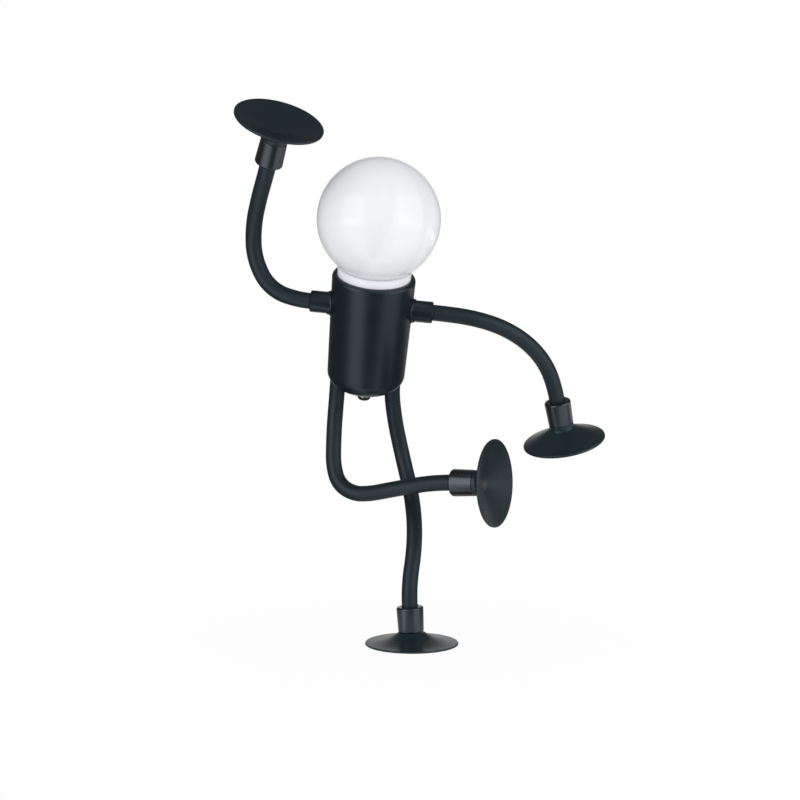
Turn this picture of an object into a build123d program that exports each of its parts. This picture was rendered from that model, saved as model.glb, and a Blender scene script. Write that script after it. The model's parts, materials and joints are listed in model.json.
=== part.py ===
"""Poseable night light: a globe-headed figure on four gooseneck limbs with suction cups.

Millimetres, +Z up, seen from the front along +Y. The origin is the middle of the
standing foot's suction face, on the table.
"""

import os
from math import radians, sin, sqrt, tan

from build123d import *

os.makedirs("parts", exist_ok=True)

# Fits and cuts
fit_gap = 0.15
core_gap = 0.05
knuckle_gap = 0.3
overrun = 2.0

# Head
globe_radius = 30.0
globe_wall = 1.8
globe_mouth_radius = 16.9
spigot_radius = 16.2
spigot_length = 6.0
neck_radius = 18.2
neck_seam_height = 4.0
neck_edge_radius = 1.2
neck_seat_depth = 6.0
neck_floor = 1.6
lead_hole_radius = 4.0
led_board_thickness = 1.6
led_width = 2.8
led_length = 3.5
led_height = 0.8
led_ring_radius = 7.0
led_ring_count = 6
led_screw_circle_radius = 12.0
led_screw_head_radius = 1.7
led_screw_head_height = 1.2
led_screw_radius = 1.0

# Torso
torso_height = 60.5
torso_top_radius = 20.7
torso_floor_radius = 19.6
torso_corner_radius = 8.0
torso_lip_radius = 1.9
torso_floor = 2.6
torso_tilt = 5.5
torso_lean = 25.0
cavity_radius = 17.2
cavity_corner_radius = 5.0
cradle_ledge_height = 13.0
cradle_ledge_width = 1.0

# Shoulders
shoulder_drop = 17.0
shoulder_boss_radius = 5.9
shoulder_fillet_radius = 1.1
shoulder_boss_proud = 1.2
shoulder_pad_radius = 7.0
shoulder_pad_depth = 0.9
collar_radius = 5.4
collar_length = 8.7
collar_floor = 2.0
collar_edge = 0.5

# Hips
hip_offset = 14.0
leg_exit_height = 3.0
leg_boss_radius = 5.6
leg_boss_height = 7.5
leg_sleeve_insert = 2.6

# Gooseneck: a wound steel core in a smooth sleeve
tube_radius = 4.0
sleeve_wall = 1.0
core_wall = 1.45
bend_limit = 63.0
knuckle_relief = 0.15
nut_across_flats = 9.4
nut_thickness = 3.2
ring_radius = 4.3
core_tail = 1.5

# Limbs: share of the length, heading in the front view, lean away from the viewer
arm_length = 90.0
leg_length = 122.6
foot_lean = 3.0
raised_arm_shares = [
    (0.00, 180 - torso_tilt, 0),
    (0.14, 160, 4),
    (0.32, 117, -4),
    (0.50, 89, -22),
    (0.68, 73, -38),
    (0.86, 68, -38),
    (1.00, 71, -32),
]
lowered_arm_shares = [
    (0.00, -torso_tilt, 0),
    (0.14, -8, 5),
    (0.32, -17, 14),
    (0.50, -31, 20),
    (0.68, -48, 24),
    (0.86, -69, 20),
    (1.00, -78, 17),
]
lifted_leg_shares = [
    (0.00, -90 - torso_tilt, torso_lean),
    (0.16, -95, 6),
    (0.34, -90, -9),
    (0.42, -74, -17),
    (0.50, -31, -24),
    (0.58, 4, -26),
    (0.66, 14, -27),
    (0.84, 12, -27),
    (1.00, 2, -27),
]
# The standing leg is traced from the foot up, and so it carries the torso
standing_leg_shares = [
    (0.00, 90 + foot_lean, 0),
    (0.16, 81, 16),
    (0.36, 93, 36),
    (0.56, 104, 25),
    (0.74, 102, -10),
    (0.91, 95, -29),
    (1.00, 90 - torso_tilt, -torso_lean),
]

# Limb ends
socket_mouth_radius = 6.8
socket_radius = 6.4
socket_length = 12.4
socket_grip = 8.2
socket_edge_radius = 1.0
stem_radius = 3.6
stem_length = 3.4
stem_root = 2.5
hub_radius = 5.5
cup_radius = 21.4
cup_height = 10.6
cup_neck_height = 2.5
cup_neck_flare = 0.9
cup_back_sag = 0.4
cup_edge = 1.2
cup_rim_radius = 0.5
cup_lip = 0.9
cup_hollow = 5.6
pressed_cup_radius = 23.4
pressed_cup_height = 6.4
pressed_cup_edge = 0.8
pressed_cup_bend_radius = 11.6
pressed_cup_bend_height = 1.8
pressed_cup_neck_height = 0.8
pressed_cup_lip = 3.6
pressed_cup_hollow = 1.0

# Battery and control board
cell_radius = 8.1
cell_headroom = 5.1
cell_setback = 5.0
cell_nub_radius = 3.0
cell_nub_height = 0.8
cradle_plate = 1.6
cradle_wall = 1.3
cradle_step = 10.0
cradle_mouth = 11.0
board_width = 24.0
board_headroom = 6.9
board_thickness = 1.6
board_setback = 8.8
chip_sizes = [(5.0, 4.0, 1.2), (5.0, 5.0, 2.2), (3.2, 1.6, 1.0), (3.2, 1.6, 1.0)]
chip_place_shares = [(-0.25, 0.75), (0.22, 0.78), (-0.25, 0.50), (0.25, 0.50)]

# Charging socket at the back
usb_width = 8.9
usb_thickness = 3.2
usb_shell = 0.35
usb_height = 24.0
usb_recess = 1.4
usb_mouth_depth = 6.2
usb_tongue_width = 6.6
usb_tongue_thickness = 0.7
usb_slot_gap = 0.3

# Push switch in the torso's floor
bushing_radius = 4.0
bushing_length = 5.4
bushing_insert = 2.4
button_radius = 3.4
button_length = 8.0
button_dome = 1.4
button_flange = 1.2
button_travel = 1.8
switch_housing_radius = 6.2
switch_roof = 1.2
switch_nut_radius = 6.0
switch_nut_thickness = 1.8


def direction(heading, lean):
    """Unit vector for a heading in the front view and a lean away from the viewer."""
    return Vector(1, 0, 0).rotate(Axis.Z, lean).rotate(Axis.Y, -heading)


def trace(start, length, shares):
    """Places and tangents along a limb that bends evenly from each tangent to the next."""
    places, tangents = [start], [direction(*shares[0][1:])]
    for (share, *_), (next_share, heading, lean) in zip(shares, shares[1:]):
        before, after = tangents[-1], direction(heading, lean)
        half_turn = radians(before.get_angle(after)) / 2
        chord = (next_share - share) * length * sin(half_turn) / half_turn
        places.append(places[-1] + (before + after).normalized() * chord)
        tangents.append(after)
    return places, tangents


def section(plane):
    """The plane that holds a turned profile: X is the radius and Y the axis of the given plane."""
    return Plane(plane.origin, x_dir=plane.y_dir, z_dir=plane.x_dir)


def turning_axis(plane):
    """The axis that the given plane's profiles are turned about."""
    return Axis(plane.origin, plane.z_dir)


def outer_rims(piece, plane):
    """The widest round edges of a turned piece, in order along the plane's axis."""
    circles = piece.edges().filter_by(GeomType.CIRCLE)
    return circles.group_by(SortBy.RADIUS)[-1].sort_by(turning_axis(plane))


def write(piece, label):
    """Label a finished piece and write its file."""
    piece.label = label
    export_step(piece, f"parts/{label}.step")


# The standing leg rises from the foot's socket and ends at its hip
foot_axis = direction(90 + foot_lean, 0)
foot_mouth = foot_axis * (pressed_cup_height + socket_length)
rising_places, rising_tangents = trace(foot_mouth, leg_length, standing_leg_shares)

# The torso's own frame stands on that hip
torso_up = rising_tangents[-1]
torso_x = direction(-torso_tilt, 0)
torso_foot = rising_places[-1] - torso_x * hip_offset - torso_up * leg_exit_height
torso_plane = Plane(torso_foot, x_dir=torso_x, z_dir=torso_up)
torso_y = torso_plane.y_dir
torso_section = section(torso_plane)
torso_axis = turning_axis(torso_plane)


def on_torso(across, back, height):
    """A place given in the torso's frame."""
    return torso_foot + torso_x * across + torso_y * back + torso_up * height


shoulder_height = torso_height - shoulder_drop
shoulder_reach = torso_top_radius + shoulder_boss_proud
shoulder_pad = cavity_radius - shoulder_pad_depth
collar_end = shoulder_reach + collar_length
core_radius = tube_radius - sleeve_wall - core_gap
core_bore_radius = core_radius - core_wall

# Torso shell: turned cup with a rounded floor, shoulder bosses and hip bosses
with BuildPart() as cavity:
    with BuildSketch(torso_section) as cavity_profile:
        with BuildLine():
            Polyline(
                (0, torso_floor),
                (cavity_radius - cradle_ledge_width, torso_floor),
                (cavity_radius - cradle_ledge_width, cradle_ledge_height),
                (cavity_radius, cradle_ledge_height),
                (cavity_radius, torso_height - neck_seat_depth),
                (neck_radius + fit_gap, torso_height - neck_seat_depth),
                (neck_radius + fit_gap, torso_height + overrun),
                (0, torso_height + overrun),
                close=True,
            )
        make_face()
        floor_corner = cavity_profile.vertices().group_by(Axis.Y)[0].sort_by(Axis.X)[-1]
        fillet(floor_corner, cavity_corner_radius)
    revolve(axis=torso_axis)
    with BuildSketch(torso_plane):
        with Locations((-hip_offset, 0), (hip_offset, 0)):
            Circle(leg_boss_radius)
    extrude(amount=leg_boss_height, mode=Mode.SUBTRACT)
    with BuildSketch(torso_plane.offset(leg_boss_height)):
        with Locations((-hip_offset, 0), (hip_offset, 0)):
            Circle(ring_radius + 2 * fit_gap)
    extrude(amount=cradle_ledge_height - leg_boss_height)
    for side in (-1, 1):
        pad_plane = Plane(on_torso(side * shoulder_pad, 0, shoulder_height), z_dir=torso_x * side)
        with BuildSketch(pad_plane):
            Circle(shoulder_pad_radius)
        extrude(amount=shoulder_pad_depth + overrun, mode=Mode.SUBTRACT)

usb_place = on_torso(0, board_setback + board_thickness, usb_height)
usb_plane = Plane(usb_place, x_dir=torso_x, z_dir=torso_y)
usb_length = torso_floor_radius - usb_recess - board_setback - board_thickness
boss_length = shoulder_reach - shoulder_pad

with BuildPart() as torso_shell:
    with BuildSketch(torso_section) as torso_profile:
        with BuildLine():
            Polyline(
                (0, 0),
                (torso_floor_radius, 0),
                (torso_top_radius, torso_height),
                (0, torso_height),
                close=True,
            )
        make_face()
        fillet(torso_profile.vertices().group_by(Axis.Y)[0].sort_by(Axis.X)[-1], torso_corner_radius)
        fillet(torso_profile.vertices().group_by(Axis.Y)[-1].sort_by(Axis.X)[-1], torso_lip_radius)
    revolve(axis=torso_axis)
    for side in (-1, 1):
        boss_plane = Plane(on_torso(side * shoulder_pad, 0, shoulder_height), z_dir=torso_x * side)
        with BuildSketch(boss_plane):
            Circle(shoulder_boss_radius)
        extrude(amount=boss_length)
    fillet(torso_shell.edges().filter_by(GeomType.BSPLINE), shoulder_fillet_radius)
    add(cavity.part, mode=Mode.SUBTRACT)
    for side in (-1, 1):
        bore_plane = Plane(on_torso(side * shoulder_pad, 0, shoulder_height), z_dir=torso_x * side)
        with BuildSketch(bore_plane.offset(-overrun)):
            Circle(core_radius + fit_gap)
        extrude(amount=boss_length + 2 * overrun, mode=Mode.SUBTRACT)
    with BuildSketch(torso_plane.offset(-overrun)):
        with Locations((-hip_offset, 0), (hip_offset, 0)):
            Circle(core_radius + fit_gap)
    extrude(amount=leg_boss_height + 2 * overrun, mode=Mode.SUBTRACT)
    with BuildSketch(torso_plane.offset(-overrun)):
        with Locations((-hip_offset, 0), (hip_offset, 0)):
            Circle(tube_radius + fit_gap)
    extrude(amount=overrun + leg_exit_height + leg_sleeve_insert, mode=Mode.SUBTRACT)
    with BuildSketch(torso_plane.offset(-overrun)):
        Circle(bushing_radius + fit_gap)
    extrude(amount=torso_floor + 2 * overrun, mode=Mode.SUBTRACT)
    with BuildSketch(usb_plane):
        SlotOverall(usb_width + 2 * usb_slot_gap, usb_thickness + 2 * usb_slot_gap)
    extrude(amount=torso_top_radius, mode=Mode.SUBTRACT)
write(torso_shell.part, "torso_shell")

# Neck collar: white ring with a floor that carries the light board
neck_plane = torso_plane.offset(torso_height - neck_seat_depth)
neck_height = neck_seat_depth + neck_seam_height
with BuildPart() as neck_collar:
    with BuildSketch(neck_plane):
        Circle(neck_radius)
    extrude(amount=neck_height)
    with BuildSketch(neck_plane.offset(neck_floor)):
        Circle(spigot_radius + fit_gap)
    extrude(amount=neck_height, mode=Mode.SUBTRACT)
    with BuildSketch(neck_plane):
        Circle(lead_hole_radius)
        with PolarLocations(led_screw_circle_radius, 2):
            Circle(led_screw_radius + fit_gap)
    extrude(amount=neck_floor, mode=Mode.SUBTRACT)
    fillet(outer_rims(neck_collar, neck_plane)[-1], neck_edge_radius)
write(neck_collar.part, "neck_collar")

# Globe diffuser: thin ball with a spigot that plugs into the collar
globe_rise = sqrt(globe_radius**2 - globe_mouth_radius**2)
seam_plane = torso_plane.offset(torso_height + neck_seam_height)
with BuildPart() as globe_diffuser:
    with BuildSketch(section(seam_plane)):
        with Locations((0, globe_rise)):
            Circle(globe_radius)
            Circle(globe_radius - globe_wall, mode=Mode.SUBTRACT)
        Rectangle(
            4 * globe_radius, 2 * globe_radius, align=(Align.CENTER, Align.MAX), mode=Mode.SUBTRACT
        )
        with Locations((spigot_radius - globe_wall, -spigot_length)):
            Rectangle(globe_wall, spigot_length, align=Align.MIN)
        with Locations((0, -globe_radius)):
            Rectangle(
                2 * globe_radius, 4 * globe_radius, align=(Align.MAX, Align.MIN), mode=Mode.SUBTRACT
            )
    revolve(axis=torso_axis)
write(globe_diffuser.part, "globe_diffuser")

# Light board on the collar's floor, with its chips and screws
led_plane = neck_plane.offset(neck_floor)
led_top = led_plane.offset(led_board_thickness)
with BuildPart() as led_board:
    with BuildSketch(led_plane):
        Circle(spigot_radius - fit_gap)
        with PolarLocations(led_screw_circle_radius, 2):
            Circle(led_screw_radius + fit_gap, mode=Mode.SUBTRACT)
    extrude(amount=led_board_thickness)
write(led_board.part, "led_board")

with BuildPart() as led_chips:
    with BuildSketch(led_top):
        Rectangle(led_width, led_length)
        with PolarLocations(led_ring_radius, led_ring_count):
            Rectangle(led_width, led_length)
    extrude(amount=led_height)
write(led_chips.part, "led_chips")

with BuildPart() as led_board_screws:
    with BuildSketch(led_top):
        with PolarLocations(led_screw_circle_radius, 2):
            Circle(led_screw_head_radius)
    extrude(amount=led_screw_head_height)
    with BuildSketch(led_top):
        with PolarLocations(led_screw_circle_radius, 2):
            Circle(led_screw_radius)
    extrude(amount=-led_board_thickness - neck_floor)
write(led_board_screws.part, "led_board_screws")

# Battery in its cradle, which stands on the ledge inside the torso
cradle_plane = torso_plane.offset(cradle_ledge_height)
cradle_top = cradle_plane.offset(cradle_plate)
cell_room = torso_height - neck_seat_depth - cradle_ledge_height - cradle_plate
cell_length = cell_room - cell_nub_height - cell_headroom
cradle_height = cell_length - cradle_step
board_height = cell_room - board_headroom
cell_place = (0, -cell_setback)
with BuildPart() as battery_cradle:
    with BuildSketch(cradle_plane):
        Circle(cavity_radius - fit_gap)
        with Locations((0, cavity_radius)):
            Circle(lead_hole_radius, mode=Mode.SUBTRACT)
    extrude(amount=cradle_plate)
    with BuildSketch(cradle_top):
        with Locations(cell_place):
            Circle(cell_radius + fit_gap + cradle_wall)
            Circle(cell_radius + fit_gap, mode=Mode.SUBTRACT)
            Rectangle(
                cradle_mouth, 2 * cell_radius, align=(Align.CENTER, Align.MAX), mode=Mode.SUBTRACT
            )
    extrude(amount=cradle_height)
write(battery_cradle.part, "battery_cradle")

with BuildPart() as battery_cell:
    with BuildSketch(cradle_top):
        with Locations(cell_place):
            Circle(cell_radius)
    extrude(amount=cell_length)
    with BuildSketch(cradle_top.offset(cell_length)):
        with Locations(cell_place):
            Circle(cell_nub_radius)
    extrude(amount=cell_nub_height)
write(battery_cell.part, "battery_cell")

# Control board standing on the cradle, with its parts and the charging socket
with BuildPart() as control_board:
    with BuildSketch(cradle_top):
        with Locations((0, board_setback)):
            Rectangle(board_width, board_thickness, align=(Align.CENTER, Align.MIN))
    extrude(amount=board_height)
write(control_board.part, "control_board")

board_back = Plane(
    on_torso(0, board_setback + board_thickness, cradle_ledge_height + cradle_plate),
    x_dir=-torso_x,
    z_dir=torso_y,
)
with BuildPart() as board_components:
    for (width, height, depth), (across_share, up_share) in zip(chip_sizes, chip_place_shares):
        with BuildSketch(board_back):
            with Locations((across_share * board_width, up_share * board_height)):
                Rectangle(width, height)
        extrude(amount=depth)
write(board_components.part, "board_components")

with BuildPart() as usb_port:
    with BuildSketch(usb_plane):
        SlotOverall(usb_width, usb_thickness)
    extrude(amount=usb_length)
    with BuildSketch(usb_plane.offset(usb_length - usb_mouth_depth)):
        SlotOverall(usb_width - 2 * usb_shell, usb_thickness - 2 * usb_shell)
        Rectangle(usb_tongue_width, usb_tongue_thickness, mode=Mode.SUBTRACT)
    extrude(amount=usb_mouth_depth, mode=Mode.SUBTRACT)
write(usb_port.part, "usb_port")

# Push switch: housing inside, bushing and nut through the floor, sliding button
bushing_top = torso_floor + bushing_insert
button_top = bushing_top + fit_gap + button_flange
switch_cavity_top = button_top + button_travel + fit_gap
with BuildPart() as switch_housing:
    with BuildSketch(torso_plane.offset(torso_floor)):
        Circle(switch_housing_radius)
    extrude(amount=switch_cavity_top + switch_roof - torso_floor)
    with BuildSketch(torso_plane.offset(torso_floor)):
        Circle(bushing_radius + fit_gap)
    extrude(amount=switch_cavity_top - torso_floor, mode=Mode.SUBTRACT)
write(switch_housing.part, "switch_housing")

with BuildPart() as switch_bushing:
    with BuildSketch(torso_plane.offset(-bushing_length)):
        Circle(bushing_radius)
        Circle(button_radius + fit_gap, mode=Mode.SUBTRACT)
    extrude(amount=bushing_length + bushing_top)
write(switch_bushing.part, "switch_bushing")

with BuildPart() as switch_nut:
    with BuildSketch(torso_plane):
        Circle(switch_nut_radius)
        Circle(bushing_radius + core_gap, mode=Mode.SUBTRACT)
    extrude(amount=-switch_nut_thickness)
    chamfer(outer_rims(switch_nut, torso_plane)[0], collar_edge)
write(switch_nut.part, "switch_nut")

with BuildPart() as switch_button:
    with BuildSketch(torso_plane.offset(-button_length)):
        Circle(button_radius)
    extrude(amount=button_length + button_top)
    fillet(outer_rims(switch_button, torso_plane)[0], button_dome)
    with BuildSketch(torso_plane.offset(button_top)):
        Circle(bushing_radius - fit_gap)
    extrude(amount=-button_flange)
write(switch_button.part, "switch_button")

# Shoulder collars, and the nuts and rings that lock the goosenecks into the torso
for label, side in (("raised_arm_collar", -1), ("lowered_arm_collar", 1)):
    collar_plane = Plane(on_torso(side * shoulder_reach, 0, shoulder_height), z_dir=torso_x * side)
    with BuildPart() as collar:
        with BuildSketch(collar_plane):
            Circle(collar_radius)
            Circle(core_radius + fit_gap, mode=Mode.SUBTRACT)
        extrude(amount=collar_length)
        with BuildSketch(collar_plane.offset(collar_floor)):
            Circle(tube_radius + fit_gap)
        extrude(amount=collar_length, mode=Mode.SUBTRACT)
        chamfer(outer_rims(collar, collar_plane)[-1], collar_edge)
    write(collar.part, label)

with BuildPart() as arm_lock_nuts:
    for side in (-1, 1):
        pad_plane = Plane(on_torso(side * shoulder_pad, 0, shoulder_height), z_dir=torso_x * side)
        with BuildSketch(pad_plane):
            RegularPolygon(nut_across_flats / 2, 6, major_radius=False)
            Circle(core_radius + core_gap, mode=Mode.SUBTRACT)
        extrude(amount=-nut_thickness)
write(arm_lock_nuts.part, "arm_lock_nuts")

with BuildPart() as leg_lock_rings:
    with BuildSketch(torso_plane.offset(leg_boss_height)):
        with Locations((-hip_offset, 0), (hip_offset, 0)):
            Circle(ring_radius)
            Circle(core_radius + core_gap, mode=Mode.SUBTRACT)
    extrude(amount=nut_thickness)
write(leg_lock_rings.part, "leg_lock_rings")


class Limb:
    """One gooseneck: its route from torso to tip, its bends and how it is held."""

    def __init__(self, name, places, tangents, bends, sleeve_insert, core_insert):
        self.name = name
        self.places = places
        self.tangents = tangents
        self.stops = [0, *bends, len(places) - 1]
        self.sleeve_insert = sleeve_insert
        self.core_insert = core_insert
        # Each bend turns about the given line, squared up to the tube
        self.bend_axes = {}
        for stop, about in bends.items():
            along = tangents[stop]
            self.bend_axes[stop] = (about - along * along.dot(about)).normalized()


front_axis = Vector(0, 1, 0)
upright = Vector(0, 0, 1)
arm_core_insert = collar_length + boss_length + nut_thickness + core_tail
leg_core_insert = leg_boss_height - leg_exit_height + nut_thickness + core_tail
arm_bends = {1: torso_up, 3: front_axis, 5: -torso_x}
lifted_bends = {1: torso_x, 4: -front_axis, 7: upright}
standing_bends = {1: torso_x, 3: -torso_x, 5: front_axis}
arm_sleeve_insert = collar_length - collar_floor

raised_shoulder = on_torso(-collar_end, 0, shoulder_height)
lowered_shoulder = on_torso(collar_end, 0, shoulder_height)
lifted_hip = on_torso(-hip_offset, 0, leg_exit_height)
raised_route = trace(raised_shoulder, arm_length, raised_arm_shares)
lowered_route = trace(lowered_shoulder, arm_length, lowered_arm_shares)
lifted_route = trace(lifted_hip, leg_length, lifted_leg_shares)
standing_route = rising_places[::-1], [-tangent for tangent in rising_tangents[::-1]]
arm_inserts = arm_sleeve_insert, arm_core_insert
leg_inserts = leg_sleeve_insert, leg_core_insert
limbs = [
    Limb("raised_arm", *raised_route, arm_bends, *arm_inserts),
    Limb("lowered_arm", *lowered_route, arm_bends, *arm_inserts),
    Limb("lifted_leg", *lifted_route, lifted_bends, *leg_inserts),
    Limb("standing_leg", *standing_route, standing_bends, *leg_inserts),
]

# Each bend is a round knuckle on the outer length, seated in a hollow of the inner one
knuckle_radius = tube_radius - knuckle_relief
notch = tube_radius * tan(radians(bend_limit / 2)) + knuckle_gap
cut_width = 4 * tube_radius


def tube_length(limb, first, last, outer, bore, insert):
    """One length of gooseneck, from one stop of a limb to the next."""
    places, tangents = limb.places, limb.tangents
    lead = tube_radius if first in limb.bend_axes else insert
    start = places[first] - tangents[first] * lead
    with BuildPart() as length:
        with BuildLine() as route:
            Line(start, places[first])
            for here in range(first, last):
                TangentArc(places[here], places[here + 1], tangent=tangents[here])
            if last not in limb.bend_axes:
                Line(places[last], places[last] + tangents[last] * socket_grip)
        with BuildSketch(Plane(start, z_dir=tangents[first])):
            Circle(outer)
            Circle(bore, mode=Mode.SUBTRACT)
        sweep(path=route.wire())
        if first in limb.bend_axes:
            with BuildSketch(Plane(places[first], x_dir=tangents[first], z_dir=limb.bend_axes[first])):
                Rectangle(cut_width, cut_width, align=(Align.MAX, Align.CENTER))
                Circle(knuckle_radius, mode=Mode.SUBTRACT)
            extrude(amount=cut_width, both=True, mode=Mode.SUBTRACT)
        if last in limb.bend_axes:
            with BuildSketch(Plane(places[last], x_dir=tangents[last], z_dir=limb.bend_axes[last])):
                with Locations((-notch, 0)):
                    Rectangle(cut_width, cut_width, align=(Align.MIN, Align.CENTER))
                Circle(knuckle_radius + knuckle_gap)
            extrude(amount=cut_width, both=True, mode=Mode.SUBTRACT)
    return length.part


length_names = ("root", "upper", "lower", "tip")
for limb in limbs:
    for name, first, last in zip(length_names, limb.stops, limb.stops[1:]):
        sleeve = tube_length(limb, first, last, tube_radius, tube_radius - sleeve_wall, limb.sleeve_insert)
        write(sleeve, f"{limb.name}_{name}_sleeve")
        core = tube_length(limb, first, last, core_radius, core_bore_radius, limb.core_insert)
        write(core, f"{limb.name}_{name}_core")


def make_socket(mouth):
    """Sleeve that joins a gooseneck's end to a cup's stem; the mouth plane faces the cup."""
    with BuildPart() as socket:
        with BuildSketch(section(mouth)) as profile:
            with BuildLine():
                Polyline(
                    (0, 0),
                    (socket_mouth_radius, 0),
                    (socket_radius, socket_length),
                    (0, socket_length),
                    close=True,
                )
            make_face()
            fillet(profile.vertices().group_by(Axis.Y)[0].sort_by(Axis.X)[-1], socket_edge_radius)
            chamfer(profile.vertices().group_by(Axis.Y)[-1].sort_by(Axis.X)[-1], collar_edge)
        revolve(axis=turning_axis(mouth))
        with BuildSketch(mouth):
            Circle(tube_radius + fit_gap)
        extrude(amount=socket_grip, mode=Mode.SUBTRACT)
        with BuildSketch(mouth.offset(socket_length)):
            Circle(stem_radius + fit_gap)
        extrude(amount=-stem_length - fit_gap, mode=Mode.SUBTRACT)
    return socket.part


def make_cup(rim, seat, pressed):
    """Suction cup turned about its rim's plane, with a stem that stands in the seat's socket."""
    lean = rim.z_dir.get_angle(seat.z_dir)
    hub_top = (pressed_cup_height if pressed else cup_height) - hub_radius * sin(radians(lean))
    with BuildPart() as cup:
        with BuildSketch(section(rim)) as profile:
            with BuildLine():
                if pressed:
                    radius, lip, hollow = pressed_cup_radius, pressed_cup_lip, pressed_cup_hollow
                    hub_foot = (hub_radius, hub_top - pressed_cup_neck_height)
                    bend = (pressed_cup_bend_radius, pressed_cup_bend_height)
                    edge = (radius, pressed_cup_edge)
                    flat = TangentArc(edge, bend, tangent=(-1, 0))
                    TangentArc(bend, hub_foot, tangent=flat % 1)
                else:
                    radius, lip, hollow = cup_radius, cup_lip, cup_hollow
                    hub_foot = (hub_radius + cup_neck_flare, hub_top - cup_neck_height)
                    edge = (radius, cup_edge)
                    middle = (Vector(*edge) + Vector(*hub_foot)) / 2
                    sag = middle - Vector(0, cup_back_sag)
                    ThreePointArc(edge, sag, hub_foot)
                Polyline(hub_foot, (hub_radius, hub_top), (0, hub_top), (0, hollow))
                RadiusArc((0, hollow), (radius - lip, 0), ((radius - lip) ** 2 + hollow**2) / (2 * hollow))
                Polyline((radius - lip, 0), (radius, 0), edge)
            make_face()
            fillet(profile.vertices().group_by(Axis.X)[-1].sort_by(Axis.Y)[-1], cup_rim_radius)
        revolve(axis=turning_axis(rim))
        with BuildSketch(seat.offset(-stem_root)):
            Circle(stem_radius)
        extrude(amount=stem_root + stem_length)
    return cup.part


end_names = ("raised_hand", "lowered_hand", "lifted_foot", "standing_foot")
for limb, end_name in zip(limbs, end_names):
    pressed = limb.name == "standing_leg"
    mouth = Plane(limb.places[-1], z_dir=limb.tangents[-1])
    seat = Plane(limb.places[-1] + limb.tangents[-1] * socket_length, z_dir=-limb.tangents[-1])
    rim = Plane.XY if pressed else seat.offset(-cup_height)
    write(make_socket(mouth), f"{end_name}_socket")
    write(make_cup(rim, seat, pressed), f"{end_name}_cup")
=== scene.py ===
# %% [markdown]
# # A night light that stands like a small figure
#
# A white globe sits on a black torso, and four bendable goosenecks with suction cups are its
# arms and legs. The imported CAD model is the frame: it says where every piece is and how it
# moves. This lesson dresses that frame, piece by piece.

import json
from math import asin, copysign, cos, pi, radians, sin, sqrt, tan

import bmesh
import bpy
from mathutils import Matrix, Vector


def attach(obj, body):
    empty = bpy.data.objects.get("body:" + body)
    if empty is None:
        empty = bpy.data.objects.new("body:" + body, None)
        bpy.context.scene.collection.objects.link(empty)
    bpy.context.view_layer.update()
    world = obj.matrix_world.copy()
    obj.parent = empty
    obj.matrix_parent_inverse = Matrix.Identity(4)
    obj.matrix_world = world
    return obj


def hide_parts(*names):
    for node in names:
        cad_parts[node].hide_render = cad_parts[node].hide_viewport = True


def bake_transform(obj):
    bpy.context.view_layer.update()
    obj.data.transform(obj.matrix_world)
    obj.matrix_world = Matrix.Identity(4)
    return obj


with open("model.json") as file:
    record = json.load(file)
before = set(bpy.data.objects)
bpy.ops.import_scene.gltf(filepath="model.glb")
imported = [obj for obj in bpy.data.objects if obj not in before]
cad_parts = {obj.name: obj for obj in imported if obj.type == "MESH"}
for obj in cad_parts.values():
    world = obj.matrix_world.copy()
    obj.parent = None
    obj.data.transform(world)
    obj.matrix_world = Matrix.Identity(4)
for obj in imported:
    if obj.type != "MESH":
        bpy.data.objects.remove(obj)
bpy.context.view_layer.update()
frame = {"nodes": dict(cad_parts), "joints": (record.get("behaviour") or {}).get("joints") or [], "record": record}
nodes = frame["nodes"]
joints = {joint["name"]: joint for joint in frame["joints"]}
MM = 0.001

# %% [markdown]
# ## Camera
#
# The photograph was taken from about two thirds of a metre, level with the torso and tipped
# down a little. A focal length in pixels turns into a lens length once the sensor is 36 mm.

# %% Camera
PHOTO_PX = 800
FOCAL_PX = 1344
SENSOR_MM = 36.0
CAMERA_PLACE_MM = (-5.9, -670.0, 145.7)
CAMERA_PITCH_DEG = 2.0

camera_data = bpy.data.cameras.new("camera")
camera_data.sensor_width = SENSOR_MM
camera_data.lens = SENSOR_MM * FOCAL_PX / PHOTO_PX
camera = bpy.data.objects.new("camera", camera_data)
camera.location = Vector(CAMERA_PLACE_MM) * MM
camera.rotation_euler = (radians(90 - CAMERA_PITCH_DEG), 0, 0)
bpy.context.scene.collection.objects.link(camera)
bpy.context.scene.camera = camera
bpy.context.scene.view_settings.view_transform = "Standard"
print("lens", round(camera_data.lens, 1), "mm")

# %% [markdown]
# ## Small helpers
#
# Colours are written as sRGB hex values, as a colour picker shows them, and the shader wants
# them linear. One helper adds a node with its settings and its links, so that each material
# below reads as a short list of what it is made from.


# %% Colour and node helpers
def linear(hex_colour):
    """A linear RGBA colour from an sRGB hex value."""
    shares = [int(hex_colour[i:i + 2], 16) / 255 for i in (1, 3, 5)]
    return [s / 12.92 if s <= 0.04045 else ((s + 0.055) / 1.055) ** 2.4 for s in shares] + [1.0]


def add_node(tree, kind, settings, links=()):
    """Add a node: settings are inputs or properties, and links are (input, node, output)."""
    node = tree.nodes.new(kind)
    for key, value in settings.items():
        if isinstance(key, int) or key in node.inputs:
            node.inputs[key].default_value = value
        else:
            setattr(node, key, value)
    for key, source, output in links:
        tree.links.new(source.outputs[output], node.inputs[key])
    return node


def new_material(name, **sockets):
    """A material with a Principled shader whose plain sockets are set, and its tree."""
    material = bpy.data.materials.new(name)
    material.use_nodes = True
    shader = material.node_tree.nodes["Principled BSDF"]
    for socket, value in sockets.items():
        shader.inputs[socket.replace("_", " ")].default_value = value
    return material, material.node_tree, shader


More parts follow.
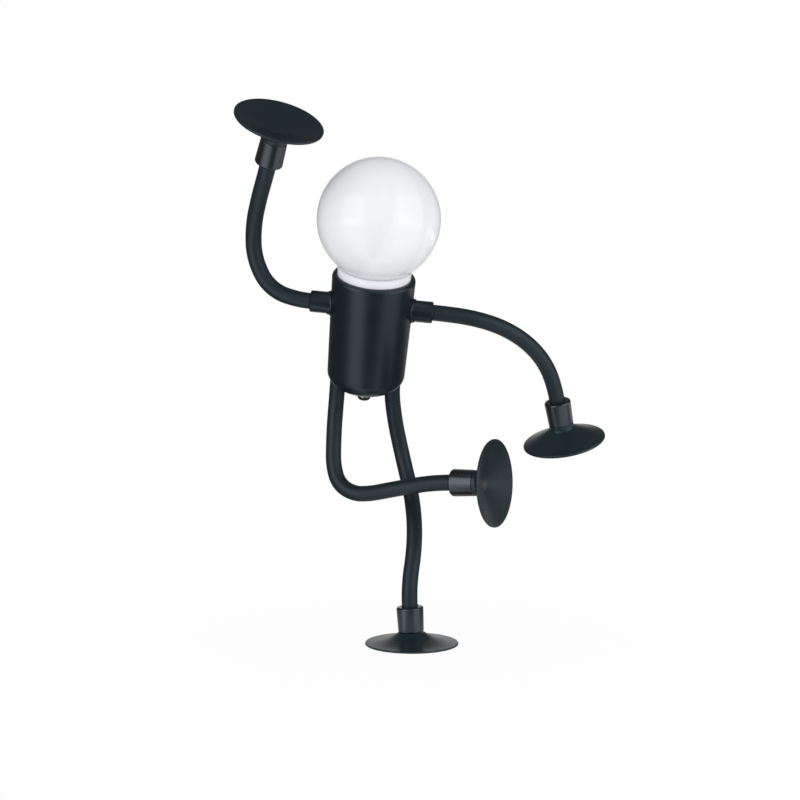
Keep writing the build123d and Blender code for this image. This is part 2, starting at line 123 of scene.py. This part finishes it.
# %% [markdown]
# ## Stage and light
#
# The object stands on a white sweep. Two tall soft boxes in front of it, one to the left and
# one to the right, make the paired upright streaks on every round black surface, together with
# painted sheen on the floor that only reflections see. A low panel behind it, to the right,
# lights the hollow of the lifted cup, and a wide fill behind the camera brightens the white
# pieces without showing in any reflection. The rest of the room is dim, so that black stays
# black between the streaks.

# %% Floor
FLOOR_SIZE = 12.0
FLOOR_DROP = 0.02 * MM
floor_mesh = bpy.data.meshes.new("floor")
sheet = bmesh.new()
bmesh.ops.create_grid(sheet, x_segments=1, y_segments=1, size=FLOOR_SIZE / 2)
bmesh.ops.translate(sheet, vec=(0, 0, -FLOOR_DROP), verts=sheet.verts)
sheet.to_mesh(floor_mesh)
sheet.free()
floor = bpy.data.objects.new("floor", floor_mesh)
bpy.context.scene.collection.objects.link(floor)
print("floor", FLOOR_SIZE, "m wide")

# %% What reflections see of the floor
# They see painted sheen, as if on a polished table: two painted sectors stand in for the soft boxes'
# light carried on towards the object, and painted glow lies straight behind the object and round
# its foot; it is dim elsewhere, so that black pieces keep dark undersides.
PAINTED_SHEEN_MIDDLE = (-0.012, 0.0, 0.0)
PAINTED_SHEEN_DIM = 0.07
LEFT_SIDE, LEFT_SPREAD, LEFT_SHEEN = radians(-48), radians(21), 1.1
RIGHT_SIDE, RIGHT_SPREAD, RIGHT_SHEEN = radians(61), radians(28), 0.72
BACK_SPREAD, BACK_SHEEN = radians(25), 0.6
SECTOR_FADE = radians(11)
FOOT_GLOW, FOOT_MM, FOOT_FADE_MM = 0.45, 50, 115

paper, tree, shader = new_material("white_paper", Roughness=0.9)
shader.inputs["Base Color"].default_value = linear("#F2F2F2")
place = add_node(tree, "ShaderNodeTexCoord", {})
reach = add_node(tree, "ShaderNodeVectorMath", {"operation": "LENGTH"}, [(0, place, "Object")])
around = add_node(tree, "ShaderNodeVectorMath", {"operation": "SUBTRACT", 1: PAINTED_SHEEN_MIDDLE},
                  [(0, place, "Object")])
axes = add_node(tree, "ShaderNodeSeparateXYZ", {}, [(0, around, 0)])
ahead = add_node(tree, "ShaderNodeMath", {"operation": "MULTIPLY", 1: -1.0}, [(0, axes, "Y")])
side = add_node(tree, "ShaderNodeMath", {"operation": "ARCTAN2"}, [(0, axes, "X"), (1, ahead, 0)])
turn = add_node(tree, "ShaderNodeMath", {"operation": "ABSOLUTE"}, [(0, side, 0)])
sectors = (
    (side, LEFT_SIDE, LEFT_SPREAD, LEFT_SHEEN, PAINTED_SHEEN_DIM),
    (side, RIGHT_SIDE, RIGHT_SPREAD, RIGHT_SHEEN, PAINTED_SHEEN_DIM),
    (turn, pi, BACK_SPREAD, BACK_SHEEN, 0.0),
)
# Painted glow round the foot, seen only in reflections; each sector below adds painted sheen that stands in for
# soft-box light on a table
painted_sheen_level = add_node(tree, "ShaderNodeMapRange",
                 {"From Min": FOOT_MM * MM, "From Max": FOOT_FADE_MM * MM,
                  "To Min": FOOT_GLOW, "To Max": 0.0, "interpolation_type": "SMOOTHSTEP"},
                 [("Value", reach, "Value")])
for bearing, middle, spread, bright, dim in sectors:
    off = add_node(tree, "ShaderNodeMath", {"operation": "SUBTRACT", 1: middle}, [(0, bearing, 0)])
    off = add_node(tree, "ShaderNodeMath", {"operation": "ABSOLUTE"}, [(0, off, 0)])
    sheen = add_node(tree, "ShaderNodeMapRange",
                     {"From Min": spread - SECTOR_FADE, "From Max": spread + SECTOR_FADE,
                      "To Min": bright, "To Max": dim, "interpolation_type": "SMOOTHSTEP"},
                     [("Value", off, 0)])
    painted_sheen_level = add_node(tree, "ShaderNodeMath", {"operation": "MAXIMUM"},
                     [(0, painted_sheen_level, 0), (1, sheen, 0)])
print("table with", len(sectors), "lit sectors")

# %% What the camera sees of the floor
# White paper: it keeps a light shadow near the object and fades to plain white away from it.
# The light that it throws up on matte surfaces is even.
NEAR_WHITE, FAR_WHITE = 0.94, 1.0
NEAR_MM, FAR_MM = 60, 320
BOUNCE_LEVEL = 1.12

white = add_node(tree, "ShaderNodeMapRange",
                 {"From Min": NEAR_MM * MM, "From Max": FAR_MM * MM,
                  "To Min": NEAR_WHITE, "To Max": FAR_WHITE}, [("Value", reach, "Value")])
rays = add_node(tree, "ShaderNodeLightPath", {})
seen = add_node(tree, "ShaderNodeMath", {"operation": "MAXIMUM"},
                [(0, rays, "Is Camera Ray"), (1, rays, "Is Transmission Ray")])
shine = add_node(tree, "ShaderNodeMath", {"operation": "MULTIPLY"},
                 [(0, painted_sheen_level, 0), (1, rays, "Is Glossy Ray")])
bounce = add_node(tree, "ShaderNodeMath", {"operation": "MULTIPLY", 1: BOUNCE_LEVEL},
                  [(0, rays, "Is Diffuse Ray")])
level = add_node(tree, "ShaderNodeMath", {"operation": "MAXIMUM"}, [(0, shine, 0), (1, bounce, 0)])
level = add_node(tree, "ShaderNodeMath", {"operation": "MAXIMUM"}, [(0, level, 0), (1, seen, 0)])
share = add_node(tree, "ShaderNodeMath", {"operation": "MULTIPLY"}, [(0, seen, 0), (1, white, 0)])
for ray in ("Is Glossy Ray", "Is Diffuse Ray"):
    share = add_node(tree, "ShaderNodeMath", {"operation": "MAXIMUM"},
                     [(0, share, 0), (1, rays, ray)])
glow = add_node(tree, "ShaderNodeEmission", {"Color": linear("#FFFFFF")}, [("Strength", level, 0)])
mixed = add_node(tree, "ShaderNodeMixShader", {}, [(0, share, 0), (1, shader, 0), (2, glow, 0)])
tree.links.new(mixed.outputs[0], tree.nodes["Material Output"].inputs["Surface"])
floor.data.materials.append(paper)
print("floor of", paper.name)

# %% World: a white backdrop behind the object, a dim room elsewhere
# The backdrop shows in reflections only low down and straight behind the object, and the room
# behind the camera is a little lighter than the rest.
ROOM_LEVEL = 0.10
FRONT_LEVEL, FRONT_START, FRONT_FULL = 0.35, -0.5, -0.9
FILL_LEVEL = 0.70
BACKDROP_CORE, BACKDROP_EDGE = 0.08, 0.42
BACKDROP_LOW, BACKDROP_HIGH = 0.25, 0.60

world = bpy.data.worlds.new("studio")
bpy.context.scene.world = world
world.use_nodes = True
tree = world.node_tree
place = add_node(tree, "ShaderNodeTexCoord", {})
axes = add_node(tree, "ShaderNodeSeparateXYZ", {}, [(0, place, "Generated")])
aside = add_node(tree, "ShaderNodeMath", {"operation": "ABSOLUTE"}, [(0, axes, "X")])
backdrop = add_node(tree, "ShaderNodeMath", {"operation": "GREATER_THAN", 1: 0.0}, [(0, axes, "Y")])
for axis, output, near, far in ((aside, 0, BACKDROP_CORE, BACKDROP_EDGE),
                                (axes, "Z", BACKDROP_LOW, BACKDROP_HIGH)):
    fade = add_node(tree, "ShaderNodeMapRange",
                    {"From Min": near, "From Max": far, "To Min": 1.0, "To Max": 0.0,
                     "interpolation_type": "SMOOTHSTEP"}, [("Value", axis, output)])
    backdrop = add_node(tree, "ShaderNodeMath", {"operation": "MULTIPLY"},
                        [(0, backdrop, 0), (1, fade, 0)])
room = add_node(tree, "ShaderNodeMapRange",
                {"From Min": FRONT_START, "From Max": FRONT_FULL,
                 "To Min": ROOM_LEVEL, "To Max": FRONT_LEVEL, "interpolation_type": "SMOOTHSTEP"},
                [("Value", axes, "Y")])
rays = add_node(tree, "ShaderNodeLightPath", {})
seen = add_node(tree, "ShaderNodeMath", {"operation": "MAXIMUM"},
                [(0, rays, "Is Camera Ray"), (1, rays, "Is Transmission Ray")])
fill = add_node(tree, "ShaderNodeMath", {"operation": "MULTIPLY", 1: FILL_LEVEL},
                [(0, rays, "Is Diffuse Ray")])
strength = backdrop
for light in (room, seen, fill):
    strength = add_node(tree, "ShaderNodeMath", {"operation": "MAXIMUM"},
                        [(0, strength, 0), (1, light, 0)])
tree.links.new(strength.outputs[0], tree.nodes["Background"].inputs["Strength"])
tree.nodes["Background"].inputs["Color"].default_value = linear("#FFFFFF")
print("world", world.name, "with a fill of", FILL_LEVEL)

# %% Soft boxes
BOX_REACH = 0.8
BOX_HEIGHT = 0.8
BOX_LIFT = 0.02
LEFT_RADIANCE, RIGHT_RADIANCE = 1.42, 1.2
PANEL_SIDE, PANEL_MIDDLE = radians(122), 0.06
PANEL_WIDTH, PANEL_HEIGHT, PANEL_RADIANCE = 0.60, 0.11, 0.9
FILL_MIDDLE, FILL_WIDTH, FILL_HEIGHT, FILL_RADIANCE = 0.30, 1.0, 0.56, 0.6


def soft_box(name, side, middle, width, height, radiance):
    """An upright area lamp that faces the object; side 0 is the camera's side."""
    out = Vector((sin(side), -cos(side), 0))
    lamp = bpy.data.lights.new(name, "AREA")
    lamp.shape = "RECTANGLE"
    lamp.size, lamp.size_y = width, height
    lamp.energy = radiance * pi * width * height
    holder = bpy.data.objects.new(name, lamp)
    holder.location = out * BOX_REACH + Vector((0, 0, middle))
    holder.rotation_euler = out.to_track_quat("Z", "Y").to_euler()
    holder.visible_camera = False
    bpy.context.scene.collection.objects.link(holder)
    return holder


for name, side, spread, radiance in (
        ("left_soft_box", LEFT_SIDE, LEFT_SPREAD, LEFT_RADIANCE),
        ("right_soft_box", RIGHT_SIDE, RIGHT_SPREAD, RIGHT_RADIANCE)):
    width = 2 * BOX_REACH * tan(spread)
    soft_box(name, side, BOX_HEIGHT / 2 + BOX_LIFT, width, BOX_HEIGHT, radiance)
soft_box("back_soft_box", PANEL_SIDE, PANEL_MIDDLE, PANEL_WIDTH, PANEL_HEIGHT, PANEL_RADIANCE)
front_fill = soft_box("front_fill", 0.0, FILL_MIDDLE, FILL_WIDTH, FILL_HEIGHT, FILL_RADIANCE)
front_fill.visible_glossy = False
print("lit by", len(bpy.data.lights), "lamps")

# %% [markdown]
# ## Materials
#
# Almost everything that shows is black, so the finishes differ by how they shine: satin on
# the moulded torso, a softer sheen on the silicone sleeves, gloss on the end sockets and
# matte rubber on the cups. Each one gets a fine grain from noise in real millimetres, on
# Object coordinates, and a coarser cloud that moves its gloss and its shade a little.


# %% Surface helper
CLOUD_MM = 9.0
CLOUD_LOW, CLOUD_HIGH = 0.3, 0.7


def surface(name, shades, grain_mm, height_mm, rough, **sockets):
    """A finish with a fine grain, whose gloss and shade drift a little from place to place."""
    material, tree, shader = new_material(name, **sockets)
    place = add_node(tree, "ShaderNodeTexCoord", {})
    cloud = add_node(tree, "ShaderNodeTexNoise", {"Scale": 1 / (CLOUD_MM * MM), "Detail": 3.0},
                     [("Vector", place, "Object")])
    gloss = add_node(tree, "ShaderNodeMapRange",
                     {"From Min": CLOUD_LOW, "From Max": CLOUD_HIGH,
                      "To Min": rough[0], "To Max": rough[1]}, [("Value", cloud, "Fac")])
    grain = add_node(tree, "ShaderNodeTexNoise", {"Scale": 1 / (grain_mm * MM), "Detail": 2.0},
                     [("Vector", place, "Object")])
    bump = add_node(tree, "ShaderNodeBump", {"Strength": 1.0, "Distance": height_mm * MM},
                    [("Height", grain, "Fac")])
    shade = add_node(tree, "ShaderNodeMix",
                     {"data_type": "RGBA", 6: linear(shades[0]), 7: linear(shades[1])},
                     [(0, cloud, "Fac")])
    tree.links.new(gloss.outputs[0], shader.inputs["Roughness"])
    tree.links.new(bump.outputs[0], shader.inputs["Normal"])
    tree.links.new(shade.outputs[2], shader.inputs["Base Color"])
    return material


# %% Black finishes
COOL_SHEEN = linear("#E2EFFF")

# Moulded ABS with a satin mould texture; the grain is drawn coarser than the real 0.2 mm
satin_abs = surface("satin_black_abs", ("#101D20", "#122023"), 0.5, 0.003, (0.30, 0.34),
                    IOR=1.53, Specular_IOR_Level=0.55, Specular_Tint=COOL_SHEEN)
# Extruded silicone tube: softer sheen, with a little dust in it
silicone = surface("black_silicone_tube", ("#182429", "#1B282D"), 0.7, 0.004, (0.38, 0.44),
                   IOR=1.45, Specular_IOR_Level=0.5, Specular_Tint=COOL_SHEEN)
# Polished socket plastic, with hardly any grain
gloss_plastic = surface("gloss_black_plastic", ("#0E1719", "#101A1C"), 1.5, 0.0008, (0.26, 0.30),
                        IOR=1.6, Specular_IOR_Level=1.0, Specular_Tint=COOL_SHEEN)
# Matte moulded rubber of the suction cups
cup_rubber = surface("black_cup_rubber", ("#182529", "#1B292D"), 0.6, 0.004, (0.33, 0.38),
                     IOR=1.5, Specular_IOR_Level=0.6, Specular_Tint=COOL_SHEEN)
print("black finishes made")

# %% White finishes
# Opal acrylic: white all through, so light spreads under its smooth skin
OPAL_DEPTH = 4 * MM
opal = surface("opal_acrylic", ("#E6E8EC", "#EAECEF"), 3.0, 0.001, (0.10, 0.13), IOR=1.49,
               Subsurface_Weight=0.3, Subsurface_Radius=(OPAL_DEPTH,) * 3, Subsurface_Scale=1.0)
# White ABS of the neck ring
white_abs = surface("white_abs", ("#D9DBDF", "#DFE1E4"), 0.8, 0.004, (0.26, 0.34), IOR=1.53)
print("white finishes made")

# %% Metals
# Bright nickel plate on the switch bushing, its nut and the charging socket
nickel = surface("nickel_plate", ("#B9B7B0", "#C9C7C1"), 0.4, 0.002, (0.18, 0.30), Metallic=1.0)
# Wound spring steel of the gooseneck cores
wound_steel = surface("wound_spring_steel", ("#85888B", "#9A9DA0"), 0.8, 0.05, (0.28, 0.42),
                      Metallic=1.0)
# Zinc plated screws, nuts and lock rings
zinc = surface("zinc_plate", ("#A9ABA8", "#B8BAB6"), 0.4, 0.004, (0.30, 0.42), Metallic=1.0)
print("metals made")

# %% Finishes of the pieces inside
# Solder mask on the control board, white mask on the light board
solder_mask = surface("green_solder_mask", ("#1C5B36", "#236B41"), 0.5, 0.01, (0.30, 0.40),
                      IOR=1.55)
white_mask = surface("white_solder_mask", ("#E8E8E2", "#F0F0EA"), 0.5, 0.01, (0.30, 0.40),
                     IOR=1.55)
# Phosphor gel of the light chips, epoxy of the other chips
phosphor = surface("phosphor_gel", ("#E8C455", "#F0D06A"), 0.4, 0.01, (0.25, 0.35), IOR=1.41)
chip_epoxy = surface("chip_epoxy", ("#17181A", "#1D1E20"), 0.3, 0.01, (0.50, 0.60), IOR=1.55)
# Shrink wrap round the cell, natural nylon of its cradle and of the switch body
shrink_wrap = surface("blue_shrink_wrap", ("#2A4F8A", "#315A9A"), 1.2, 0.01, (0.20, 0.30), IOR=1.53)
nylon = surface("natural_nylon", ("#D8D6CE", "#E0DED6"), 0.5, 0.01, (0.45, 0.55), IOR=1.53)
print(len(bpy.data.materials), "materials made")

# %% Each CAD node that stays gets the finish of its material slot
FINISHES = {
    "black_abs": satin_abs, "opal_acrylic": opal, "white_abs": white_abs,
    "black_silicone": silicone, "wound_steel": wound_steel,
    "black_socket_plastic": gloss_plastic, "black_rubber": cup_rubber,
    "circuit_board": solder_mask, "light_board": white_mask, "phosphor": phosphor,
    "chip_plastic": chip_epoxy, "cell_can": shrink_wrap, "cradle_plastic": nylon,
    "nickel_plate": nickel, "zinc_steel": zinc,
}
slot_of = {part["node"]: part["material_slot"] for part in frame["record"]["subparts"]}
for name, node in nodes.items():
    node.data.materials.clear()
    node.data.materials.append(FINISHES[slot_of[name]])
print("finished", len(nodes), "nodes")

# %% [markdown]
# ## Where the goosenecks run
#
# A gooseneck is a wound steel coil in a smooth silicone sleeve, and it keeps any bend it is
# given. Its line is a chain of arcs: each row of a table gives a share of the length, the
# heading in the front view and the lean away from the viewer. The line is traced from the
# first row and then set on the frame, so that its first bend lies on the frame's hinge.

# %% Trace the four lines
# Rows are a share of the length, the heading and the lean, both in degrees
ARM_LENGTH = 90.0 * MM
LEG_LENGTH = 122.6 * MM
LIMB_SHARES = {
    "raised_arm": [(0.00, 174.5, 0), (0.14, 160, 4), (0.32, 117, -4), (0.50, 89, -22),
                   (0.68, 73, -38), (0.86, 68, -38), (1.00, 71, -32)],
    "lowered_arm": [(0.00, -5.5, 0), (0.14, -8, 5), (0.32, -17, 14), (0.50, -31, 20),
                    (0.68, -48, 24), (0.86, -69, 20), (1.00, -78, 17)],
    "lifted_leg": [(0.00, -95.5, 25), (0.16, -95, 6), (0.34, -90, -9), (0.42, -74, -17),
                   (0.50, -31, -24), (0.58, 4, -26), (0.66, 14, -27), (0.84, 12, -27),
                   (1.00, 2, -27)],
    "standing_leg": [(0.00, -95.5, 25), (0.09, -85, 29), (0.26, -78, 10), (0.44, -76, -25),
                     (0.64, -87, -36), (0.84, -99, -16), (1.00, -87, 0)],
}


def direction(heading, lean):
    """Unit vector for a heading in the front view and a lean away from the viewer."""
    turn, back = radians(heading), radians(lean)
    return Vector((cos(back) * cos(turn), sin(back), cos(back) * sin(turn)))


def trace(shares, length, anchor, anchor_station):
    """Places and tangents along a limb, moved so that one station lies on the anchor."""
    places, tangents = [Vector()], [direction(*shares[0][1:])]
    for (share, *_), (next_share, heading, lean) in zip(shares, shares[1:]):
        before, after = tangents[-1], direction(heading, lean)
        half_turn = before.angle(after) / 2
        chord = (next_share - share) * length * sin(half_turn) / half_turn
        places.append(places[-1] + (before + after).normalized() * chord)
        tangents.append(after)
    shift = Vector(anchor) - places[anchor_station]
    return [place + shift for place in places], tangents


class Limb:
    """A limb's line, the stations of its three bends and where its sleeve is divided."""

    def __init__(self, name, length, joint_words, bends, divides):
        self.name = name
        self.joints = [joints[f"{name}_{word}"] for word in joint_words]
        self.bends = bends
        anchor = self.joints[0]["pos_m"]
        self.places, self.tangents = trace(LIMB_SHARES[name], length, anchor, bends[0])
        self.stops = [0, *divides, len(self.places) - 1]
        misses = [(self.places[b] - Vector(j["pos_m"])).length for b, j in zip(bends, self.joints)]
        print(name, "misses its hinges by at most", round(max(misses) / MM, 3), "mm")


ARM_WORDS = ("shoulder", "elbow", "wrist")
LEG_WORDS = ("hip", "knee", "ankle")
limbs = [
    Limb("raised_arm", ARM_LENGTH, ARM_WORDS, (1, 3, 5), (2, 4)),
    Limb("lowered_arm", ARM_LENGTH, ARM_WORDS, (1, 3, 5), (2, 4)),
    Limb("lifted_leg", LEG_LENGTH, LEG_WORDS, (1, 4, 7), (2, 6)),
    Limb("standing_leg", LEG_LENGTH, LEG_WORDS, (1, 3, 5), (2, 4)),
]

# %% [markdown]
# ## Gooseneck sleeves and cores
#
# Each arc of the line is one spin of a ring of edges about the arc's own axis, so the tube
# follows the line exactly and never twists. A sleeve that bends can't be one rigid piece: it
# is divided halfway between the hinges.


# %% Piece helpers
def finish_piece(name, mesh_edit, material):
    """Make the edited mesh an object at the origin, smooth, with its material."""
    for face in mesh_edit.faces:
        face.smooth = True
    mesh = bpy.data.meshes.new(name)
    mesh_edit.to_mesh(mesh)
    mesh_edit.free()
    mesh.materials.append(material)
    piece = bpy.data.objects.new(name, mesh)
    bpy.context.scene.collection.objects.link(piece)
    return piece


def only(kind, geometry):
    """The elements of one kind in a list of mesh geometry."""
    return [element for element in geometry if isinstance(element, kind)]


def push(mesh_edit, ring, step):
    """Extrude a ring of edges straight along a step."""
    made = bmesh.ops.extrude_edge_only(mesh_edit, edges=ring)["geom"]
    bmesh.ops.translate(mesh_edit, vec=step, verts=only(bmesh.types.BMVert, made))
    return only(bmesh.types.BMEdge, made)


def free_ring(made):
    """The free ring of edges after an extrusion: its edges bound one face only."""
    return [edge for edge in made if len(edge.link_faces) == 1]


# %% Tube builder
TUBE_SIDES = 48
TUBE_STEP = 1.0 * MM


def limb_tube(limb, first, last, radii, lead, tail):
    """A tube with a wall, along a limb's line from one station to another."""
    tube = bmesh.new()
    near_rings, far_rings = [], []
    for radius in radii:
        start = limb.places[first] - limb.tangents[first] * lead
        upright = limb.tangents[first].to_track_quat("Z", "Y").to_matrix().to_4x4()
        ring = bmesh.ops.create_circle(
            tube, segments=TUBE_SIDES, radius=radius, matrix=Matrix.Translation(start) @ upright)
        edges = list({edge for vert in ring["verts"] for edge in vert.link_edges})
        near_rings += edges
        if lead:
            edges = free_ring(push(tube, edges, limb.tangents[first] * lead))
        for here in range(first, last):
            before, after = limb.tangents[here], limb.tangents[here + 1]
            chord = (limb.places[here + 1] - limb.places[here]).length
            turn = before.angle(after)
            axis = before.cross(after).normalized()
            bend_radius = chord / (2 * sin(turn / 2))
            centre = limb.places[here] + axis.cross(before) * bend_radius
            steps = max(2, round(turn * bend_radius / TUBE_STEP))
            verts = list({vert for edge in edges for vert in edge.verts})
            made = bmesh.ops.spin(tube, geom=verts + edges, cent=centre, axis=axis,
                                  angle=turn, steps=steps)
            edges = only(bmesh.types.BMEdge, made["geom_last"])
        if tail:
            edges = free_ring(push(tube, edges, limb.tangents[last] * tail))
        far_rings += edges
    bmesh.ops.bridge_loops(tube, edges=near_rings)
    bmesh.ops.bridge_loops(tube, edges=far_rings)
    bmesh.ops.recalc_face_normals(tube, faces=tube.faces)
    for edge in near_rings + far_rings:
        edge.smooth = False
    return tube


# %% Sleeves and cores of the four limbs
TUBE_RADIUS = 4.0 * MM
SLEEVE_BORE = 3.0 * MM
CORE_RADIUS = 2.95 * MM
CORE_BORE = 1.5 * MM
SOCKET_DEPTH_MM = 8.2
# How far sleeve and core reach back into the torso from the first station
ARM_LEADS = (6.7 * MM, 19.0 * MM)
LEG_LEADS = (2.6 * MM, 9.2 * MM)
BEND_REACH = 12.0 * MM
LENGTHS = ("root", "upper", "lower", "tip")
DIVISIONS = ("inner", "middle", "outer")

for limb in limbs:
    leads = ARM_LEADS if limb.name.endswith("arm") else LEG_LEADS
    tubes = (("sleeve", (TUBE_RADIUS, SLEEVE_BORE), leads[0], silicone, "black_silicone"),
             ("core", (CORE_RADIUS, CORE_BORE), leads[1], wound_steel, "wound_steel"))
    for layer, radii, lead, material, slot in tubes:
        for division, word in enumerate(DIVISIONS):
            first, last = limb.stops[division:division + 2]
            tube = limb_tube(limb, first, last, radii, lead if word == "inner" else 0,
                             SOCKET_DEPTH_MM * MM if word == "outer" else 0)
            piece = finish_piece(f"{limb.name}_{word}_{layer}", tube, material)
            bend = limb.bends[division]
            reach = limb.tangents[bend] * BEND_REACH
            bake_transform(piece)
            covered = LENGTHS[:2] if division == 0 else (LENGTHS[division + 1],)
            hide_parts(*(f"{limb.name}_{length}_{layer}" for length in covered))
print(len(limbs), "goosenecks dressed")

# %% [markdown]
# ## End sockets and suction cups
#
# Every limb ends in a plastic socket and a rubber cup, and both are round. A lathe would make
# them from a half profile, and so does this: a wire of straight runs and arcs is drawn with
# radius and height, its corners are rounded with a vertex bevel, and one full spin closes it.
# Weighted normals keep the long walls flat next to the small rounded corners.


# %% Turning helpers
ARC_STEPS = 14
ROUND_STEPS = 5
SHARP_TURN = radians(35)
MERGE_MM = 0.001


def draw_profile(rows):
    """A wire through rows of radius, height and the arc's radius on the way there, in mm.

    An arc radius of 0 is a straight run. A plus one has its centre on the left of the way,
    a minus one on the right.
    """
    wire = bmesh.new()
    here = wire.verts.new((rows[0][0] * MM, 0, rows[0][1] * MM))
    corners = [here]
    for radius, height, curve in rows[1:]:
        goal = Vector((radius * MM, 0, height * MM))
        if curve:
            way = goal - here.co
            aside = Vector((-way.z, 0, way.x)).normalized() * copysign(1, curve)
            rise = sqrt((curve * MM) ** 2 - (way.length / 2) ** 2)
            turn = 2 * asin(way.length / (2 * abs(curve) * MM))
            made = bmesh.ops.spin(wire, geom=[here], cent=(here.co + goal) / 2 + aside * rise,
                                  axis=(0, -copysign(1, curve), 0), angle=turn, steps=ARC_STEPS)
            here = only(bmesh.types.BMVert, made["geom_last"])[0]
        else:
            corner = wire.verts.new(goal)
            wire.edges.new((here, corner))
            here = corner
        corners.append(here)
    return wire, corners


def turned(rows, rounds, place, axis, sides):
    """A closed round piece on an axis; rounds gives the corners of the profile to round off."""
    piece, corners = draw_profile(rows)
    for corner, size in rounds.items():
        bmesh.ops.bevel(piece, geom=[corners[corner]], offset=size * MM, offset_type="OFFSET",
                        segments=ROUND_STEPS, profile=0.5, affect="VERTICES", material=-1)
    bmesh.ops.spin(piece, geom=piece.verts[:] + piece.edges[:], cent=(0, 0, 0), axis=(0, 0, 1),
                   angle=2 * pi, steps=sides, use_merge=True)
    bmesh.ops.remove_doubles(piece, verts=piece.verts, dist=MERGE_MM * MM)
    bmesh.ops.recalc_face_normals(piece, faces=piece.faces)
    for edge in piece.edges:
        edge.smooth = edge.calc_face_angle(0) < SHARP_TURN
    upright = Vector(axis).to_track_quat("Z", "Y").to_matrix().to_4x4()
    bmesh.ops.transform(piece, matrix=Matrix.Translation(place) @ upright, verts=piece.verts)
    return piece


def weigh_normals(piece):
    """Let the large faces decide the shading, and keep the sharp edges."""
    weighted = piece.modifiers.new("weighted_normals", "WEIGHTED_NORMAL")
    weighted.keep_sharp = True


# %% Sockets: a bore for the gooseneck, a wall that narrows towards the cup
# Rows are rows of the profile, and rounds give the number of a row and how far it is rounded
SOCKET_SIDES = 72
SOCKET_LENGTH = 12.4
SOCKET_ROWS = [(0, SOCKET_DEPTH_MM, 0), (4.15, SOCKET_DEPTH_MM, 0), (4.15, 0, 0), (6.8, 0, 0),
               (6.4, SOCKET_LENGTH, 0), (0, SOCKET_LENGTH, 0)]
SOCKET_ROUNDS = {2: 0.3, 3: 1.0, 4: 0.35}
ENDS = {"raised_arm": "raised_hand", "lowered_arm": "lowered_hand",
        "lifted_leg": "lifted_foot", "standing_leg": "standing_foot"}

for limb in limbs:
    end = ENDS[limb.name]
    shape = turned(SOCKET_ROWS, SOCKET_ROUNDS, limb.places[-1], limb.tangents[-1], SOCKET_SIDES)
    socket = finish_piece(f"{end}_turned_socket", shape, gloss_plastic)
    weigh_normals(socket)
    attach(socket, f"{limb.name}_tip")
    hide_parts(f"{end}_socket")
print(len(ENDS), "sockets turned")

# %% Cups: a hollow cone with a thin lip, or the same cup pressed flat on the table
CUP_SIDES = 128
CUP_HEIGHT = 10.6
CUP_ROWS = [(0, 6.0, 0), (2.4, 6.0, 0), (20.3, 0.2, 0), (20.8, 0, 0), (21.4, 0, 0), (21.4, 1.2, 0),
            (6.35, 8.1, -85), (6.35, CUP_HEIGHT, 0), (0, CUP_HEIGHT, 0)]
CUP_ROUNDS = {1: 2.0, 4: 0.3, 5: 0.5, 6: 1.0, 7: 0.15}
PRESSED_ROWS = [(0, 1.0, 0), (19.8, 0, -196.5), (23.4, 0, 0), (23.4, 0.8, 0), (12.0, 2.9, -41.6),
                (6.3, 6.0, -18.5), (0, 6.0, 0)]
PRESSED_ROUNDS = {3: 0.4}

for limb in limbs:
    end = ENDS[limb.name]
    if limb.name == "standing_leg":
        shape = turned(PRESSED_ROWS, PRESSED_ROUNDS, (0, 0, 0), (0, 0, 1), CUP_SIDES)
    else:
        rim = limb.places[-1] + limb.tangents[-1] * (SOCKET_LENGTH + CUP_HEIGHT) * MM
        shape = turned(CUP_ROWS, CUP_ROUNDS, rim, -limb.tangents[-1], CUP_SIDES)
    cup = finish_piece(f"{end}_turned_cup", shape, cup_rubber)
    weigh_normals(cup)
    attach(cup, f"{limb.name}_tip")
    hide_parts(f"{end}_cup")
print(len(ENDS), "cups turned")

# %% [markdown]
# ## End

# %% Finish
print("scene dressed")
